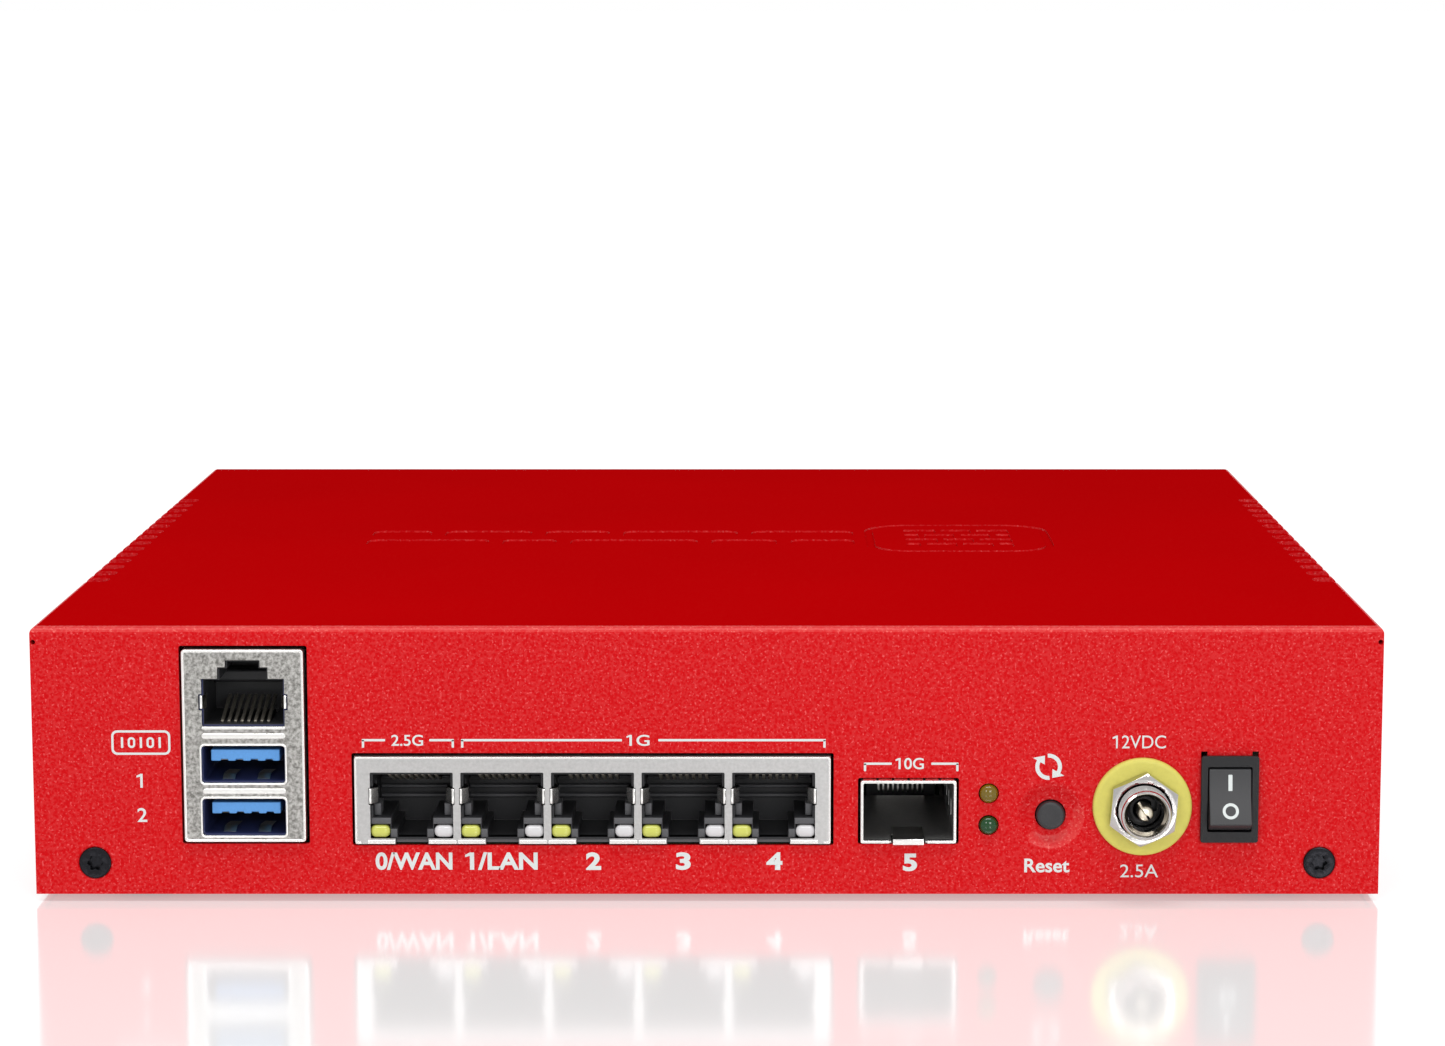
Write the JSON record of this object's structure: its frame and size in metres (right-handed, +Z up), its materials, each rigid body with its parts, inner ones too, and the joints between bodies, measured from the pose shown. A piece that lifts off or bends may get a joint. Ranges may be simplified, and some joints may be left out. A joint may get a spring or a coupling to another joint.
{
  "type": "firewall appliance",
  "caption": "Fanless desktop network firewall: bent sheet-metal box with a port panel, power inlet, rocker switch and reset button.",
  "frame": {"origin": "middle of the bounding box, on the surface that the rubber feet stand on", "axes": "+Z up; -Y out of the port panel; +X to the right when the port panel is looked at"},
  "size_m": [0.208, 0.197, 0.0432],
  "materials": {
    "red_powder_coat": "fine-textured satin powder coat",
    "satin_nickel": "satin nickel plate",
    "black_oxide": "black oxide",
    "nickel_plate": "bright nickel plate",
    "brass": "tinned brass",
    "gold_contact": "gold flash",
    "aluminium": "extruded",
    "black_plastic": "moulded",
    "dark_grey_plastic": "moulded satin",
    "navy_plastic": "moulded",
    "blue_plastic": "moulded",
    "yellow_plastic": "moulded",
    "board_laminate": "solder mask",
    "rubber": "matte",
    "amber_lens": "tinted clear",
    "green_lens": "tinted clear",
    "lime_lens": "tinted clear",
    "clear_lens": "frosted clear",
    "red_wire": "extruded",
    "black_wire": "extruded"
  },
  "bodies": {
    "chassis": {"base_tray": "red_powder_coat", "board_screw_1": "satin_nickel", "board_screw_2": "satin_nickel", "board_screw_3": "satin_nickel", "board_screw_4": "satin_nickel", "console_contacts": "gold_contact", "console_usb_housing": "navy_plastic", "console_usb_shield": "satin_nickel", "cover": "red_powder_coat", "cover_screw_left": "black_oxide", "cover_screw_right": "black_oxide", "foot_1": "rubber", "foot_2": "rubber", "foot_3": "rubber", "foot_4": "rubber", "heat_sink": "aluminium", "inlet_barrel": "nickel_plate", "inlet_insulator": "black_plastic", "inlet_nut": "nickel_plate", "inlet_pin": "brass", "inlet_washer": "yellow_plastic", "lan_contacts_0": "gold_contact", "lan_contacts_1": "gold_contact", "lan_contacts_2": "gold_contact", "lan_contacts_3": "gold_contact", "lan_contacts_4": "gold_contact", "lan_housing": "black_plastic", "lan_shield": "satin_nickel", "lead_inlet_to_switch": "red_wire", "lead_switch_to_board": "black_wire", "link_light_0_left": "lime_lens", "link_light_0_right": "clear_lens", "link_light_1_left": "lime_lens", "link_light_1_right": "clear_lens", "link_light_2_left": "lime_lens", "link_light_2_right": "clear_lens", "link_light_3_left": "lime_lens", "link_light_3_right": "clear_lens", "link_light_4_left": "lime_lens", "link_light_4_right": "clear_lens", "main_board": "board_laminate", "processor": "black_plastic", "reset_switch_body": "black_plastic", "sfp_cage": "satin_nickel", "sfp_host_connector": "black_plastic", "standoff_1": "brass", "standoff_2": "brass", "standoff_3": "brass", "standoff_4": "brass", "status_light_amber": "amber_lens", "status_light_green": "green_lens", "status_light_holder": "black_plastic", "switch_housing": "black_plastic", "switch_terminal_lower": "brass", "switch_terminal_upper": "brass", "usb_tongue_lower": "blue_plastic", "usb_tongue_upper": "blue_plastic"},
    "rocker": {"power_rocker": "dark_grey_plastic"},
    "reset": {"reset_button": "dark_grey_plastic"}
  },
  "joints": [
    {"name": "power_rocker", "type": "hinge", "parent": "chassis", "child": "rocker", "pos_m": [0.08065, -0.091, 0.0163], "axis": [1, 0, 0], "range_deg": [0, 28]},
    {"name": "reset_press", "type": "slide", "parent": "chassis", "child": "reset", "axis": [0, 1, 0], "range_m": [0, 0.0008], "stiffness_N_per_m": 150}
  ]
}
